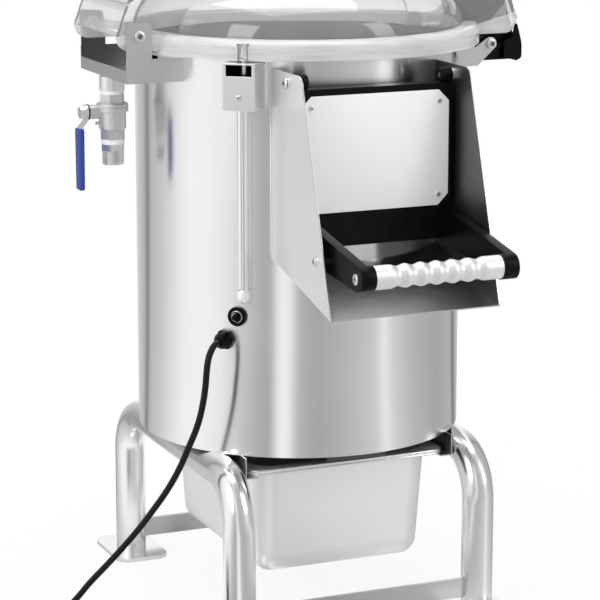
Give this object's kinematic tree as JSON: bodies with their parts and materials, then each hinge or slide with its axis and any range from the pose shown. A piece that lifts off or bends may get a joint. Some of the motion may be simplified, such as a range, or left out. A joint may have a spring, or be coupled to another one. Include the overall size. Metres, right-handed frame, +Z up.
{
  "type": "electric potato peeler",
  "caption": "Floor-standing drum peeler with a spinning abrasive disc, a hinged discharge door over a chute, a clear lid, a water valve and a peel pan.",
  "frame": {"origin": "on the floor under the drum's axis, at the centre of the four anchor holes", "axes": "+Z up, -Y towards the discharge chute, -X towards the lid hinge and the water valve"},
  "size_m": [0.7173, 0.7148, 0.815],
  "materials": {
    "brushed_steel": "satin",
    "machined_steel": "smooth",
    "plated_brass": "satin",
    "cast_alloy": "rough cast",
    "abrasive": "coarse grit",
    "black_enamel": "semi-gloss",
    "black_plastic": "fine texture",
    "ridged_aluminium": "polished",
    "clear_plastic": "clear",
    "blue_plastic": "smooth",
    "white_tape": "matte",
    "rubber": "matte",
    "red_plastic": "smooth",
    "green_plastic": "smooth"
  },
  "bodies": {
    "stand": {"drum_shell": "brushed_steel", "rim_gasket": "rubber", "base_plate": "brushed_steel", "chamber_floor": "brushed_steel", "bearing_housing": "cast_alloy", "shaft_bearings": "machined_steel", "shaft_seal": "rubber", "motor_plate": "cast_alloy", "motor_housing": "black_enamel", "drive_belt": "rubber", "left_frame": "brushed_steel", "right_frame": "brushed_steel", "cross_bars": "brushed_steel", "foot_plates": "brushed_steel", "pan_rails": "brushed_steel", "chute": "brushed_steel", "fixing_screws": "machined_steel", "door_hinge_bolts": "machined_steel", "hinge_bracket": "brushed_steel", "lid_hinge_bolts": "machined_steel", "inlet_nipple": "machined_steel", "thread_seals": "white_tape", "valve_body": "plated_brass", "hose_nipple": "machined_steel", "interlock_bracket": "brushed_steel", "interlock_switch": "black_plastic", "conduit_tube": "machined_steel", "latch_bracket": "brushed_steel", "latch_bolt": "machined_steel", "reset_bezel": "black_plastic", "cable_gland": "black_plastic", "control_box": "brushed_steel", "cord_lead": "rubber", "cord_coil": "rubber", "cord_tie": "black_plastic", "mains_plug": "black_plastic"},
    "disc": {"abrasive_disc": "abrasive", "drive_shaft": "machined_steel", "disc_pulley": "cast_alloy"},
    "rotor": {"motor_pulley": "cast_alloy", "motor_shaft": "machined_steel"},
    "door": {"door_panel": "black_plastic", "door_plate": "brushed_steel", "door_plate_screws": "machined_steel", "door_arms": "black_plastic", "handle_grip": "ridged_aluminium", "handle_rod": "machined_steel"},
    "lid": {"lid_shell": "clear_plastic", "interlock_pin": "machined_steel"},
    "pan": {"peel_pan": "brushed_steel"},
    "valve": {"valve_ball": "machined_steel", "valve_lever": "machined_steel", "lever_nut": "machined_steel", "lever_sleeve": "blue_plastic"},
    "latch": {"lid_latch": "black_plastic"},
    "plunger": {"switch_plunger": "red_plastic"},
    "reset": {"reset_button": "black_plastic"},
    "start": {"start_button": "green_plastic"},
    "stop": {"stop_button": "red_plastic"},
    "timer": {"timer_knob": "black_plastic"}
  },
  "joints": [
    {"name": "disc_spin", "type": "hinge", "parent": "stand", "child": "disc", "pos_m": [0, 0, 0.48], "axis": [0, 0, 1], "continuous": true},
    {"name": "motor_spin", "type": "hinge", "parent": "stand", "child": "rotor", "pos_m": [0.10035, 0.08421, 0.3], "axis": [0, 0, 1], "continuous": true},
    {"name": "door_swing", "type": "hinge", "parent": "stand", "child": "door", "pos_m": [0, -0.2275, 0.692], "axis": [-1, 0, 0], "range_deg": [0, 75]},
    {"name": "lid_swing", "type": "hinge", "parent": "stand", "child": "lid", "pos_m": [-0.2435, 0, 0.738], "axis": [0, -1, 0], "range_deg": [0, 95]},
    {"name": "pan_slide", "type": "slide", "parent": "stand", "child": "pan", "axis": [0, -1, 0], "range_m": [0, 0.3]},
    {"name": "valve_turn", "type": "hinge", "parent": "stand", "child": "valve", "pos_m": [-0.249, 0, 0.6375], "axis": [-1, 0, 0], "range_deg": [0, 90]},
    {"name": "latch_tilt", "type": "hinge", "parent": "stand", "child": "latch", "pos_m": [0.23, 0, 0.708], "axis": [0, -1, 0], "range_deg": [0, 15]},
    {"name": "plunger_press", "type": "slide", "parent": "stand", "child": "plunger", "axis": [0, 0, 1], "range_m": [-0.003, 0], "stiffness_N_per_m": 150},
    {"name": "reset_press", "type": "slide", "parent": "stand", "child": "reset", "axis": [-0.6921, -0.7218, 0], "range_m": [-0.0025, 0], "stiffness_N_per_m": 400},
    {"name": "start_press", "type": "slide", "parent": "stand", "child": "start", "axis": [0, 1, 0], "range_m": [-0.003, 0], "stiffness_N_per_m": 300},
    {"name": "stop_press", "type": "slide", "parent": "stand", "child": "stop", "axis": [0, 1, 0], "range_m": [-0.003, 0], "stiffness_N_per_m": 300},
    {"name": "timer_turn", "type": "hinge", "parent": "stand", "child": "timer", "pos_m": [0, 0.28, 0.6124], "axis": [0, 1, 0], "range_deg": [0, 300]}
  ],
  "couplings": [
    {"joint": "motor_spin", "follows": "disc_spin", "ratio": 3.9333}
  ]
}
